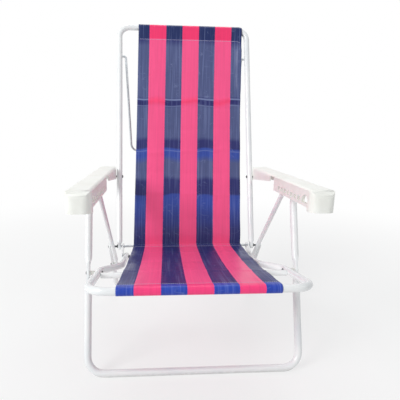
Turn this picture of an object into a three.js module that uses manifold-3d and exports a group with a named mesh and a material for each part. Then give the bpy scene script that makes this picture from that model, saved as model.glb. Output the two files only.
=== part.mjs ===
// A folding sling chair with seven recline positions, in millimetres, +Z up.
// The chair faces -Y. Reach is the distance forward of the rear ground bar.
import * as THREE from 'three';
import { mergeVertices } from 'three/addons/utils/BufferGeometryUtils.js';
import Module from 'manifold-3d';

const wasm = await Module();
wasm.setup();

// Round stock
const tubeDia = 20;
const braceDia = 14;
const rodDia = 8;
const bailDia = 8;
const flatThick = 8;
const flatWidth = 26;
const rearFlatThick = 7;
const rearFlatEdge = 1;
const braceFlatThick = 5;
const braceFlatWidth = 18;
const backFlatThick = 10;
const backFlatWidth = 24;

// Rivets, bushes and the clearances that fits share
const rivetDia = 6;
const rivetHeadDia = 10;
const rivetHeadHeight = 2.5;
const bushDia = 11;
const bushBore = 6.6;
const sleeveDia = 7;
const clearance = 0.3;
const tiltClearance = 0.8;
const laneGap = 1.5;

// Cloth
const clothWidth = 380;
const clothThick = 2;
const clothSideGap = 10;
const clothShift = 8;
const creaseGap = 4.5;
const seatSag = 10;
const backSag = 12;

// Seat frame, seen from the side and in its own plane
const seatFrontReach = 685;
const seatFrontHeight = 300;
const seatTilt = THREE.MathUtils.degToRad(9.42);
const seatLength = 478;
const seatCornerRadius = 50;
const jogRadius = 40;
const jogStart = 224;
const jogEnd = 300;
const crossbarBack = 172;
const crossbarDia = 16;
const crossbarDrop = 2;
const plugThick = 3;

// Pivots, measured back from the front bar and up from the seat tube
const frontPivotBack = 200;
const rearPivotBack = 509.3;
const rearPivotRise = 27.7;
const creaseBack = 482.2;
const creaseRise = 32.4;

// Legs and braces
const frontFootReach = 574;
const frontLegLength = 505;
const legSeatGap = 7;
const groundCornerRadius = 45;
const bracePivotDown = 99.85;
const bracePinGap = 6.1;
const braceTopInset = 24;

// Backrest and its hanging bail
const backLength = 798.5;
const backLean = THREE.MathUtils.degToRad(18.1);
const backCornerRadius = 36;
const backEndPast = 12;
const bailPivotUp = 688;
const bailLength = 336;
const bailSideGap = 8;
const bailDrawIn = 14;
const bailCornerRadius = 24;
const bailPinDepth = 8;

// Hinge brackets
const bracketThick = 3;
const bracketEdge = 11;
const bracketRivetPitch = 20;

// Armrests, measured forward of and up from their rear pivot
const armPivotUp = 247;
const armWidth = 60;
const armRearPast = 24;
const armPastPin = 249;
const armTop = 34;
const armPlateThick = 5;
const armWallThick = 3;
const armBossDia = 20;
const armCornerRadius = 22;
const armEdgeRadius = 10;
const noseDrop = 52;
const noseTurnLength = 24;
const noseTurnDrop = 20;
const noseDepth = 26;
const outerWallShort = 18;
const outerWallRise = 12;
const frontSkirtRise = 22;
const innerWallShort = 78;
const rackWallThick = 8;
const rackInset = 3;
const rackDrop = 11;
const rackBehindPin = 46;
const notchCount = 7;
const notchPitch = 26;
const notchWidth = 14;
const notchLow = 3;
const notchHigh = 8;
const notchLean = 5;
const archPastNotch = 42;
const archHalf = 20;
const archRise = 20;

// Lanes: distances from the middle plane to each tube's axis, each clear of the last
const tubeRadius = tubeDia / 2;
const seatRearHalf = clothWidth / 2 + clothSideGap + tubeRadius;
const bracketInner = seatRearHalf + tubeRadius + clearance;
const bracketOuter = bracketInner + bracketThick;
const backHalf = bracketOuter + 0.7 + tubeRadius;
const braceRearHalf = backHalf + tubeRadius + laneGap + braceDia / 2;
const rearLegHalf = braceRearHalf + braceDia / 2 + 1 + tubeRadius;
const frontLegHalf = rearLegHalf + tubeDia + laneGap;
const seatFrontHalf = frontLegHalf - tubeDia - legSeatGap;
const braceTopHalf = frontLegHalf - braceTopInset;
const armInner = backHalf + tubeRadius + 2;
const armOuter = armInner + armWidth;

// Pivots in the side plane, as reach and height
function seatPoint(back, rise) {
  const reach = seatFrontReach - back * Math.cos(seatTilt) - rise * Math.sin(seatTilt);
  const height = seatFrontHeight - back * Math.sin(seatTilt) + rise * Math.cos(seatTilt);
  return new THREE.Vector2(reach, height);
}

function along(from, to, distance) {
  const direction = to.clone().sub(from).normalize();
  return from.clone().addScaledVector(direction, distance);
}

const frontBar = seatPoint(0, 0);
const frontPivot = seatPoint(frontPivotBack, 0);
const rearPivot = seatPoint(rearPivotBack, rearPivotRise);
const crease = seatPoint(creaseBack, creaseRise);
const frontFoot = new THREE.Vector2(frontFootReach, tubeRadius);
const rearFoot = new THREE.Vector2(0, tubeRadius);
const topPin = along(frontFoot, frontPivot, frontLegLength);
const backUp = new THREE.Vector2(-Math.sin(backLean), Math.cos(backLean));
const backTop = crease.clone().addScaledVector(backUp, backLength);
const armPivot = crease.clone().addScaledVector(backUp, armPivotUp);
const bailPivot = crease.clone().addScaledVector(backUp, bailPivotUp);
const rearLegUp = rearPivot.clone().sub(rearFoot).normalize();
// The brace runs from the top pin past the rear pivot's sleeve and ends on the leg below it
const braceMiss = sleeveDia / 2 + bracePinGap + braceDia / 2;
const pinSpan = rearPivot.clone().sub(topPin);
const braceTurn = Math.asin(braceMiss / pinSpan.length());
const braceDown = pinSpan.clone().normalize().rotateAround(new THREE.Vector2(0, 0), braceTurn);
const braceReach = (pinSpan.dot(rearLegUp) - bracePivotDown) / braceDown.dot(rearLegUp);
const bracePivot = topPin.clone().addScaledVector(braceDown, braceReach);
// The rear leg's flat is wide enough to leave an edge outside the brace rivet
const bracePivotOffset = bracePivot.clone().sub(rearFoot).dot(new THREE.Vector2(rearLegUp.y, -rearLegUp.x));
const rearFlatWidth = 2 * (Math.abs(bracePivotOffset) + rivetDia / 2 + clearance + rearFlatEdge);

function place(x, point) {
  return new THREE.Vector3(x, -point.x, point.y);
}

// Closes a geometry: shared points merged, empty triangles dropped, faces turned outward
function closed(geometry) {
  const bare = geometry.clone();
  bare.deleteAttribute('normal');
  bare.deleteAttribute('uv');
  const merged = mergeVertices(bare, 1e-4);
  const index = merged.index.array;
  const position = merged.attributes.position;
  const corner = (i) => new THREE.Vector3().fromBufferAttribute(position, i);
  const kept = [];
  let volume = 0;
  for (let i = 0; i < index.length; i += 3) {
    const [a, b, c] = [index[i], index[i + 1], index[i + 2]];
    if (a === b || b === c || c === a) continue;
    kept.push(a, b, c);
    volume += corner(a).dot(corner(b).cross(corner(c)));
  }
  if (volume < 0) kept.reverse();
  merged.setIndex(kept);
  merged.computeVertexNormals();
  return merged;
}

function toManifold(geometry) {
  const solid = closed(geometry);
  const vertProperties = new Float32Array(solid.attributes.position.array);
  const triVerts = new Uint32Array(solid.index.array);
  return new wasm.Manifold(new wasm.Mesh({ numProp: 3, vertProperties, triVerts }));
}

function fromManifold(manifold) {
  const mesh = manifold.getMesh();
  const geometry = new THREE.BufferGeometry();
  const points = [];
  for (let i = 0; i < mesh.vertProperties.length; i += mesh.numProp) {
    points.push(mesh.vertProperties[i], mesh.vertProperties[i + 1], mesh.vertProperties[i + 2]);
  }
  geometry.setAttribute('position', new THREE.Float32BufferAttribute(points, 3));
  geometry.setIndex(Array.from(mesh.triVerts));
  geometry.computeVertexNormals();
  return geometry;
}

function join(parts) {
  return fromManifold(wasm.Manifold.union(parts.map(toManifold)));
}

function cut(geometry, tools) {
  const cutter = wasm.Manifold.union(tools.map(toManifold));
  return fromManifold(toManifold(geometry).subtract(cutter));
}

// A round bar across the chair, from x0 to x1, about a point of the side plane
function crossBar(point, dia, x0, x1, sides = 24) {
  const bar = new THREE.CylinderGeometry(dia / 2, dia / 2, x1 - x0, sides);
  bar.rotateZ(Math.PI / 2);
  bar.translate((x0 + x1) / 2, -point.x, point.y);
  return bar;
}

// A plate standing in the side plane: shape x is reach, shape y is height
function sidePlate(shape, x0, x1) {
  const plate = new THREE.ExtrudeGeometry(shape, { depth: x1 - x0, bevelEnabled: false, curveSegments: 10 });
  const basis = new THREE.Matrix4().makeBasis(
    new THREE.Vector3(0, -1, 0),
    new THREE.Vector3(0, 0, 1),
    new THREE.Vector3(-1, 0, 0),
  );
  plate.applyMatrix4(basis);
  plate.translate(x1, 0, 0);
  return plate;
}

// A turned piece on a cross axis; profile pairs are radius and distance from the middle plane
function turned(point, profile, side) {
  const outline = profile.map(([radius, x]) => new THREE.Vector2(radius, x));
  const piece = new THREE.LatheGeometry(outline, 20);
  piece.rotateZ(side > 0 ? -Math.PI / 2 : Math.PI / 2);
  piece.translate(0, -point.x, point.y);
  return piece;
}

// A solid rivet with a domed head at each end of its shank
function rivet(point, innerX, outerX, side) {
  const shank = rivetDia / 2;
  const head = rivetHeadDia / 2;
  const dome = head * 0.72;
  return turned(point, [
    [0, innerX - rivetHeadHeight],
    [dome, innerX - rivetHeadHeight],
    [head, innerX - rivetHeadHeight * 0.3],
    [head, innerX],
    [shank, innerX],
    [shank, outerX],
    [head, outerX],
    [head, outerX + rivetHeadHeight * 0.3],
    [dome, outerX + rivetHeadHeight],
    [0, outerX + rivetHeadHeight],
  ], side);
}

function bush(point, innerX, outerX, side) {
  return turned(point, [
    [bushBore / 2, innerX],
    [bushDia / 2, innerX],
    [bushDia / 2, outerX],
    [bushBore / 2, outerX],
    [bushBore / 2, innerX],
  ], side);
}

function rivetHole(point, x0, x1, side) {
  const bore = rivetDia + 2 * clearance;
  return side > 0 ? crossBar(point, bore, x0, x1, 20) : crossBar(point, bore, -x1, -x0, 20);
}

// A tube's centre line: straight runs between points, with an arc of the given radius at each
function bentLine(points, radii) {
  const line = [points[0].clone()];
  for (let i = 1; i < points.length - 1; i += 1) {
    const before = points[i - 1].clone().sub(points[i]).normalize();
    const after = points[i + 1].clone().sub(points[i]).normalize();
    const half = before.angleTo(after) / 2;
    const start = points[i].clone().addScaledVector(before, radii[i - 1] / Math.tan(half));
    const middle = before.clone().add(after).normalize();
    const centre = points[i].clone().addScaledVector(middle, radii[i - 1] / Math.sin(half));
    const turn = Math.PI - 2 * half;
    const axis = before.clone().negate().cross(after).normalize();
    const steps = Math.max(2, Math.ceil(turn / 0.24));
    for (let k = 0; k <= steps; k += 1) {
      const arm = start.clone().sub(centre).applyAxisAngle(axis, (turn * k) / steps);
      line.push(centre.clone().add(arm));
    }
  }
  line.push(points[points.length - 1].clone());
  return line;
}

// A tube swept along a line that lies in one plane. Each flat is pressed thin across the chair
// over its length, and a round end brings the flat to a half circle.
function sweptTube(line, planeNormal, dia, flats = [], roundEnds = false) {
  const sides = dia < tubeDia ? 12 : 16;
  const lengths = [0];
  for (let i = 1; i < line.length; i += 1) {
    lengths.push(lengths[i - 1] + line[i].distanceTo(line[i - 1]));
  }
  const total = lengths[lengths.length - 1];
  const stations = new Set(lengths);
  for (const flat of flats) {
    for (const share of [0, 0.25, 0.5, 0.75, 1]) {
      stations.add(THREE.MathUtils.clamp(flat.from - flat.ease * share, 0, total));
      stations.add(THREE.MathUtils.clamp(flat.to + flat.ease * share, 0, total));
    }
    if (roundEnds) {
      for (const share of [0.03, 0.12, 0.3, 0.6, 1]) {
        stations.add(flat.width * 0.5 * share);
        stations.add(total - flat.width * 0.5 * share);
      }
    }
  }
  const sorted = [...stations].sort((a, b) => a - b).filter((s, i, all) => i === 0 || s - all[i - 1] > 0.01);
  const points = [];
  for (const s of sorted) {
    let k = 1;
    while (k < lengths.length - 1 && lengths[k] < s) k += 1;
    const share = (s - lengths[k - 1]) / (lengths[k] - lengths[k - 1]);
    const centre = line[k - 1].clone().lerp(line[k], share);
    const tangent = line[k].clone().sub(line[k - 1]).normalize();
    if (Math.abs(s - lengths[k]) < 1e-6 && k < line.length - 1) {
      tangent.add(line[k + 1].clone().sub(line[k]).normalize()).normalize();
    }
    const across = planeNormal.clone().cross(tangent).normalize();
    let thick = dia / 2;
    let wide = dia / 2;
    let press = 0;
    for (const flat of flats) {
      const away = Math.max(flat.from - s, s - flat.to, 0);
      const amount = 1 - THREE.MathUtils.smoothstep(away, 0, flat.ease);
      if (amount > press) {
        press = amount;
        thick = THREE.MathUtils.lerp(dia / 2, flat.thick / 2, amount);
        wide = THREE.MathUtils.lerp(dia / 2, flat.width / 2, amount);
      }
      const toEnd = Math.min(s, total - s);
      if (roundEnds && amount === 1 && toEnd < flat.width / 2) {
        wide *= Math.max(0.25, Math.sqrt(1 - (1 - toEnd / (flat.width / 2)) ** 2));
      }
    }
    const power = 2 / (2 + 3 * press);
    for (let n = 0; n < sides; n += 1) {
      const angle = (2 * Math.PI * n) / sides;
      const c = Math.cos(angle);
      const d = Math.sin(angle);
      const u = Math.sign(c) * Math.abs(c) ** power * thick;
      const v = Math.sign(d) * Math.abs(d) ** power * wide;
      points.push(centre.clone().addScaledVector(across, u).addScaledVector(planeNormal, v));
    }
  }
  const rings = sorted.length;
  const index = [];
  for (let r = 0; r < rings - 1; r += 1) {
    for (let n = 0; n < sides; n += 1) {
      const a = r * sides + n;
      const b = r * sides + ((n + 1) % sides);
      index.push(a, a + sides, b, b, a + sides, b + sides);
    }
  }
  for (let n = 1; n < sides - 1; n += 1) {
    const last = (rings - 1) * sides;
    index.push(0, n, n + 1);
    index.push(last, last + n + 1, last + n);
  }
  const geometry = new THREE.BufferGeometry().setFromPoints(points);
  geometry.setIndex(index);
  return geometry;
}

// Materials
function finish(color, roughness, metalness) {
  return new THREE.MeshStandardMaterial({ color, roughness, metalness });
}
const whitePaint = () => finish(0xf1f2f0, 0.25, 0.1);
const whitePlastic = () => finish(0xe9e8e1, 0.45, 0);
const rivetSteel = () => finish(0x55585b, 0.4, 0.9);
const rodSteel = () => finish(0xd4d6d6, 0.35, 0.6);
const navyCloth = () => finish(0x24357c, 0.5, 0);
const pinkCloth = () => finish(0xe8457d, 0.5, 0);

const chair = new THREE.Group();
chair.name = 'folding_sling_chair';

function add(name, geometry, material) {
  const mesh = new THREE.Mesh(closed(geometry), material);
  mesh.name = name;
  chair.add(mesh);
}

const sides = [['left', -1], ['right', 1]];
const legFaceIn = frontLegHalf - flatThick / 2;
const legFaceOut = frontLegHalf + flatThick / 2;
const rearFaceIn = rearLegHalf - rearFlatThick / 2;
const rearFaceOut = rearLegHalf + rearFlatThick / 2;
const seatFaceOut = seatFrontHalf + tubeRadius;
const seatFaceIn = seatFrontHalf - tubeRadius;

// Seat frame: an open loop with a wide front, drawn in behind the front leg pivots
const seatNormal = new THREE.Vector3(0, Math.sin(seatTilt), Math.cos(seatTilt));
const seatCorners = [];
for (const [x, back] of [
  [-seatRearHalf, seatLength],
  [-seatRearHalf, jogEnd],
  [-seatFrontHalf, jogStart],
  [-seatFrontHalf, 0],
  [seatFrontHalf, 0],
  [seatFrontHalf, jogStart],
  [seatRearHalf, jogEnd],
  [seatRearHalf, seatLength],
]) {
  seatCorners.push(place(x, seatPoint(back, 0)));
}
const seatRadii = [jogRadius, jogRadius, seatCornerRadius, seatCornerRadius, jogRadius, jogRadius];
const seatTube = sweptTube(bentLine(seatCorners, seatRadii), seatNormal, tubeDia);
const bracketRivetBacks = [seatLength - 14, seatLength - 14 - bracketRivetPitch];
const seatHoles = [];
for (const [, side] of sides) {
  seatHoles.push(rivetHole(frontPivot, seatFaceIn - 5, seatFaceOut + 5, side));
  for (const back of bracketRivetBacks) {
    seatHoles.push(rivetHole(seatPoint(back, 0), seatRearHalf - tubeRadius - 5, bracketOuter + 5, side));
  }
}
add('seat_frame', cut(seatTube, seatHoles), whitePaint());
const crossbarEnd = seatFaceIn - clearance;
add('seat_crossbar', crossBar(seatPoint(crossbarBack, -crossbarDrop), crossbarDia, -crossbarEnd, crossbarEnd), whitePaint());

// Plugs that close the rear ends of the seat tubes
for (const [word, side] of sides) {
  const centre = place(side * seatRearHalf, seatPoint(seatLength + clearance, 0));
  const plug = new THREE.LatheGeometry([
    new THREE.Vector2(0, 0),
    new THREE.Vector2(tubeRadius, 0),
    new THREE.Vector2(tubeRadius, plugThick * 0.5),
    new THREE.Vector2(tubeRadius * 0.75, plugThick),
    new THREE.Vector2(0, plugThick),
  ], 20);
  plug.rotateX(-seatTilt);
  plug.translate(centre.x, centre.y, centre.z);
  add(`seat_end_plug_${word}`, plug, whitePlastic());
}

// Hinge brackets: plates on the seat tubes that carry the crease rod and the rear leg pivots
const bracketOutline = new THREE.Shape();
const plateCorners = [
  [seatLength - 14 - bracketRivetPitch - bracketEdge, -tubeRadius + 1],
  [seatLength - 2, -tubeRadius + 1],
  [rearPivotBack + bracketEdge, rearPivotRise - 8],
  [rearPivotBack + bracketEdge, rearPivotRise + 6],
  [rearPivotBack + 2, rearPivotRise + bracketEdge],
  [creaseBack, creaseRise + bracketEdge],
  [creaseBack - bracketEdge, creaseRise + 4],
  [seatLength - 14 - bracketRivetPitch - bracketEdge, tubeRadius - 2],
];
plateCorners.forEach(([back, rise], i) => {
  const corner = seatPoint(back, rise);
  if (i === 0) bracketOutline.moveTo(corner.x, corner.y);
  else bracketOutline.lineTo(corner.x, corner.y);
});
for (const [word, side] of sides) {
  const low = side > 0 ? bracketInner : -bracketOuter;
  const plate = sidePlate(bracketOutline, low, low + bracketThick);
  const holes = [
    crossBar(crease, rodDia + 2 * clearance, low - 1, low + bracketThick + 1),
    rivetHole(rearPivot, bracketInner - 1, bracketOuter + 1, side),
  ];
  for (const back of bracketRivetBacks) {
    holes.push(rivetHole(seatPoint(back, 0), bracketInner - 1, bracketOuter + 1, side));
  }
  add(`hinge_bracket_${word}`, cut(plate, holes), whitePaint());
  bracketRivetBacks.forEach((back, n) => {
    const shank = rivetDia / 2;
    const head = rivetHeadDia / 2;
    const innerX = seatRearHalf - tubeRadius - clearance;
    add(`bracket_rivet_${n + 1}_${word}`, turned(seatPoint(back, 0), [
      [0, innerX - rivetHeadHeight],
      [head * 0.72, innerX - rivetHeadHeight],
      [head, innerX - rivetHeadHeight * 0.3],
      [head, innerX],
      [shank, innerX],
      [shank, bracketOuter],
      [0, bracketOuter],
    ], side), rivetSteel());
  });
}

// Rear leg pivot pins: each is fixed in its bracket and reaches out to the rear leg
for (const [word, side] of sides) {
  const shank = rivetDia / 2;
  const head = rivetHeadDia / 2;
  const sleeveIn = bracketOuter + clearance;
  add(`rear_pivot_pin_${word}`, turned(rearPivot, [
    [0, bracketInner - clearance - rivetHeadHeight],
    [head * 0.72, bracketInner - clearance - rivetHeadHeight],
    [head, bracketInner - clearance - rivetHeadHeight * 0.3],
    [head, bracketInner - clearance],
    [shank, bracketInner - clearance],
    [shank, sleeveIn],
    [sleeveDia / 2, sleeveIn],
    [sleeveDia / 2, rearFaceIn - clearance],
    [0, rearFaceIn - clearance],
  ], side), rivetSteel());
}

// Seat cloth: a tunnel on the crease rod, a sagging sheet and a pocket on the front bar
function clothBand(from, to, sag, x0, x1) {
  const steps = 14;
  const run = to.clone().sub(from);
  const down = new THREE.Vector2(run.y, -run.x).normalize();
  const upper = [];
  const lower = [];
  for (let k = 0; k <= steps; k += 1) {
    const share = k / steps;
    const dip = sag * 4 * share * (1 - share);
    const middle = from.clone().addScaledVector(run, share).addScaledVector(down, dip);
    upper.push(middle.clone().addScaledVector(down, -clothThick / 2));
    lower.push(middle.clone().addScaledVector(down, clothThick / 2));
  }
  const outline = new THREE.Shape([...upper, ...lower.reverse()]);
  return sidePlate(outline, x0, x1);
}
const tunnelDia = rodDia + 2 * clearance + 2 * clothThick;
const pocketDia = tubeDia + 2 * clearance + 2 * clothThick;
const clothHalf = clothWidth / 2;
const pocketRise = new THREE.Vector2(0, tubeRadius + clearance + clothThick / 2);
const seatCloth = join([
  clothBand(crease, frontBar.clone().add(pocketRise), seatSag, -clothHalf, clothHalf),
  crossBar(crease, tunnelDia, -clothHalf, clothHalf),
  crossBar(frontBar, pocketDia, -clothHalf, clothHalf, 28),
]);
add('seat_fabric', cut(seatCloth, [
  crossBar(crease, rodDia + 2 * clearance, -clothHalf - 1, clothHalf + 1),
  crossBar(frontBar, tubeDia + 2 * clearance, -clothHalf - 1, clothHalf + 1, 28),
]), pinkCloth());

// Front leg frame: two legs and the front ground bar, pressed flat at each pivot
const frontUp = topPin.clone().sub(frontFoot).normalize();
const frontNormal = new THREE.Vector3(1, 0, 0).cross(new THREE.Vector3(0, -frontUp.x, frontUp.y));
const frontEnd = topPin.clone().addScaledVector(frontUp, flatWidth / 2 - 2);
const frontLine = bentLine([
  place(-frontLegHalf, frontEnd),
  place(-frontLegHalf, frontFoot),
  place(frontLegHalf, frontFoot),
  place(frontLegHalf, frontEnd),
], [groundCornerRadius, groundCornerRadius]);
function lineLength(line) {
  let sum = 0;
  for (let i = 1; i < line.length; i += 1) sum += line[i].distanceTo(line[i - 1]);
  return sum;
}
const frontRun = lineLength(frontLine);
const endFlat = flatWidth + 4;
const pivotFromEnd = frontEnd.distanceTo(frontPivot);
const pressed = { thick: flatThick, width: flatWidth };
const frontFlats = [
  { from: 0, to: endFlat, ease: 24, ...pressed },
  { from: pivotFromEnd - 20, to: pivotFromEnd + 20, ease: 24, ...pressed },
  { from: frontRun - pivotFromEnd - 20, to: frontRun - pivotFromEnd + 20, ease: 24, ...pressed },
  { from: frontRun - endFlat, to: frontRun, ease: 24, ...pressed },
];
const legHoles = [];
for (const [, side] of sides) {
  legHoles.push(rivetHole(frontPivot, frontLegHalf - tubeDia, frontLegHalf + tubeDia, side));
  legHoles.push(rivetHole(topPin, frontLegHalf - tubeDia, frontLegHalf + tubeDia, side));
}
const frontTube = sweptTube(frontLine, frontNormal, tubeDia, frontFlats, true);
add('front_leg_frame', cut(frontTube, legHoles), whitePaint());

// Front leg pivots: a rivet through leg, bush and seat tube on each side
for (const [word, side] of sides) {
  add(`front_pivot_bush_${word}`,
    bush(frontPivot, seatFaceOut + clearance, legFaceIn - clearance, side), whitePlastic());
  add(`front_pivot_rivet_${word}`,
    rivet(frontPivot, seatFaceIn - clearance, legFaceOut + clearance, side), rivetSteel());
}

// Top pins: each joins a front leg to its brace and ends in front of the armrest's rack
const rackOuter = armInner + rackInset + rackWallThick;
const braceTopFaceOut = braceTopHalf + braceFlatThick / 2;
for (const [word, side] of sides) {
  const shank = rivetDia / 2;
  const head = rivetHeadDia / 2;
  const headIn = legFaceOut + clearance;
  add(`top_pin_${word}`, turned(topPin, [
    [0, rackOuter + clearance],
    [shank, rackOuter + clearance],
    [shank, headIn],
    [head, headIn],
    [head, headIn + rivetHeadHeight * 0.3],
    [head * 0.72, headIn + rivetHeadHeight],
    [0, headIn + rivetHeadHeight],
  ], side), rivetSteel());
  add(`top_bush_${word}`,
    bush(topPin, braceTopFaceOut + tiltClearance, legFaceIn - clearance, side), whitePlastic());
}

// Braces: straight tubes from the rear legs up to the top pins
const bracePast = braceFlatWidth / 2;
for (const [word, side] of sides) {
  const low = place(side * braceRearHalf, bracePivot);
  const high = place(side * braceTopHalf, topPin);
  const direction = high.clone().sub(low).normalize();
  const start = low.clone().addScaledVector(direction, -bracePast);
  const end = high.clone().addScaledVector(direction, bracePast);
  const normal = new THREE.Vector3(1, 0, 0).cross(direction).normalize();
  const run = start.distanceTo(end);
  const flat = { thick: braceFlatThick, width: braceFlatWidth, ease: 20 };
  const tube = sweptTube([start, end], normal, braceDia, [
    { from: 0, to: braceFlatWidth + 6, ...flat },
    { from: run - braceFlatWidth - 6, to: run, ...flat },
  ], true);
  add(`brace_${word}`, cut(tube, [
    rivetHole(bracePivot, braceRearHalf - braceDia, braceRearHalf + braceDia, side),
    rivetHole(topPin, braceTopHalf - braceDia, braceTopHalf + braceDia, side),
  ]), whitePaint());
}

// Rear leg frame: two legs and the rear ground bar, pressed flat from the top to the brace pivot
const rearNormal = new THREE.Vector3(1, 0, 0).cross(new THREE.Vector3(0, -rearLegUp.x, rearLegUp.y));
const rearEnd = rearPivot.clone().addScaledVector(rearLegUp, rearFlatWidth / 2);
const rearLine = bentLine([
  place(-rearLegHalf, rearEnd),
  place(-rearLegHalf, rearFoot),
  place(rearLegHalf, rearFoot),
  place(rearLegHalf, rearEnd),
], [groundCornerRadius, groundCornerRadius]);
const rearRun = lineLength(rearLine);
const rearFlat = rearFlatWidth / 2 + bracePivotDown + 16;
const rearPressed = { thick: rearFlatThick, width: rearFlatWidth, ease: 26 };
const rearTube = sweptTube(rearLine, rearNormal, tubeDia, [
  { from: 0, to: rearFlat, ...rearPressed },
  { from: rearRun - rearFlat, to: rearRun, ...rearPressed },
], true);
const rearHoles = [];
for (const [, side] of sides) {
  rearHoles.push(rivetHole(rearPivot, rearLegHalf - tubeDia, rearLegHalf + tubeDia, side));
  rearHoles.push(rivetHole(bracePivot, rearLegHalf - tubeDia, rearLegHalf + tubeDia, side));
}
add('rear_leg_frame', cut(rearTube, rearHoles), whitePaint());

// Rear leg rivets: the outer heads at the bracket pins, and the rivets that hold the braces
for (const [word, side] of sides) {
  const shank = rivetDia / 2;
  const head = rivetHeadDia / 2;
  const headIn = rearFaceOut + clearance;
  add(`rear_pivot_rivet_${word}`, turned(rearPivot, [
    [0, rearFaceIn + clearance],
    [shank, rearFaceIn + clearance],
    [shank, headIn],
    [head, headIn],
    [head, headIn + rivetHeadHeight * 0.3],
    [head * 0.72, headIn + rivetHeadHeight],
    [0, headIn + rivetHeadHeight],
  ], side), rivetSteel());
  const braceFaceIn = braceRearHalf - braceFlatThick / 2 - tiltClearance;
  add(`brace_rivet_${word}`, rivet(bracePivot, braceFaceIn, rearFaceOut + clearance, side), rivetSteel());
  const braceFaceOut = braceRearHalf + braceFlatThick / 2 + tiltClearance;
  add(`brace_bush_${word}`,
    bush(bracePivot, braceFaceOut, rearFaceIn - clearance, side), whitePlastic());
}

// Crease rod: the cross rod that the cloth turns on and the backrest hinges about
const backFaceOut = backHalf + backFlatThick / 2;
add('crease_rod', crossBar(crease, rodDia, -backFaceOut - clearance, backFaceOut + clearance), rodSteel());
for (const [word, side] of sides) {
  const capIn = backFaceOut + 2 * clearance;
  add(`crease_rod_cap_${word}`, turned(crease, [
    [0, capIn],
    [rodDia / 2 + 2.5, capIn],
    [rodDia / 2 + 2.5, capIn + 2],
    [rodDia / 2, capIn + 3.5],
    [0, capIn + 3.5],
  ], side), rivetSteel());
}

// Backrest frame: an upturned U, pressed flat at its lower ends
const backNormal = new THREE.Vector3(1, 0, 0).cross(new THREE.Vector3(0, -backUp.x, backUp.y));
const backFoot = crease.clone().addScaledVector(backUp, -backEndPast);
const backLine = bentLine([
  place(-backHalf, backFoot),
  place(-backHalf, backTop),
  place(backHalf, backTop),
  place(backHalf, backFoot),
], [backCornerRadius, backCornerRadius]);
const backRun = lineLength(backLine);
const backPressed = { thick: backFlatThick, width: backFlatWidth, ease: 12 };
const backTube = sweptTube(backLine, backNormal, tubeDia, [
  { from: 0, to: backEndPast + 6, ...backPressed },
  { from: backRun - backEndPast - 6, to: backRun, ...backPressed },
], true);
const backHoles = [];
for (const [, side] of sides) {
  const bore = rodDia + 2 * clearance;
  const low = side > 0 ? backHalf - tubeDia : -backHalf - tubeDia;
  backHoles.push(crossBar(crease, bore, low, low + 2 * tubeDia));
  backHoles.push(rivetHole(armPivot, backHalf - tubeDia, backHalf + tubeDia, side));
  const pinEnd = backHalf - tubeRadius + bailPinDepth + clearance;
  const pinHole = side > 0
    ? [backHalf - tubeDia, pinEnd]
    : [-pinEnd, -backHalf + tubeDia];
  backHoles.push(crossBar(bailPivot, bailDia + 2 * clearance, pinHole[0], pinHole[1]));
}
add('backrest_frame', cut(backTube, backHoles), whitePaint());

// Back cloth: a sheet from just above the crease to a pocket on the top bar, slid a little sideways
const clothStart = tunnelDia / 2 + creaseGap;
const backCloth = join([
  clothBand(crease.clone().addScaledVector(backUp, clothStart), backTop, -backSag, -clothHalf, clothHalf),
  crossBar(backTop, pocketDia, -clothHalf, clothHalf, 28),
]);
const backSheet = cut(backCloth, [
  crossBar(backTop, tubeDia + 2 * clearance, -clothHalf - 1, clothHalf + 1, 28),
]);
const sheetPoints = backSheet.attributes.position;
for (let i = 0; i < sheetPoints.count; i += 1) {
  const climb = (sheetPoints.getZ(i) - crease.y) / (backTop.y - crease.y);
  sheetPoints.setX(i, sheetPoints.getX(i) + clothShift * THREE.MathUtils.clamp(climb, 0, 1));
}
add('back_fabric', backSheet, navyCloth());

// Hanging bail: a bent rod whose ends turn out into the backrest tubes
const bailLow = bailPivot.clone().add(new THREE.Vector2(0, -bailLength));
const bailPinEnd = backHalf - tubeRadius + bailPinDepth;
const bailTopHalf = backHalf - tubeRadius - bailSideGap - bailDia / 2;
const bailLowHalf = bailTopHalf - bailDrawIn;
const bailLine = bentLine([
  place(-bailPinEnd, bailPivot),
  place(-bailTopHalf, bailPivot),
  place(-bailLowHalf, bailLow),
  place(bailLowHalf, bailLow),
  place(bailTopHalf, bailPivot),
  place(bailPinEnd, bailPivot),
], [bailDia, bailCornerRadius, bailCornerRadius, bailDia]);
add('prop_bail', sweptTube(bailLine, new THREE.Vector3(0, -1, 0), bailDia), rodSteel());

// Armrests: a top plate with round edges and ends, a drooped nose, side walls, a pivot boss and a rack
const armRun = topPin.clone().sub(armPivot);
const armTilt = Math.atan2(armRun.y, armRun.x);
const pinReach = armRun.length();
const armFrontReach = pinReach + armPastPin;
const outerWallReach = pinReach - outerWallShort;
const innerWallReach = pinReach - innerWallShort;
const rackRear = pinReach - rackBehindPin;
const rackFront = armFrontReach - armPlateThick;
const archMiddle = pinReach + (notchCount - 1) * notchPitch + archPastNotch;
const plateLow = armTop - armPlateThick;
const noseStart = armFrontReach - noseTurnLength;
const noseBack = armFrontReach - noseDepth;
const lip = armTop - noseDrop;
const trimLow = -2 * armTop;
const trimHigh = 2 * armTop;
const turnSteps = 6;
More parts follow.
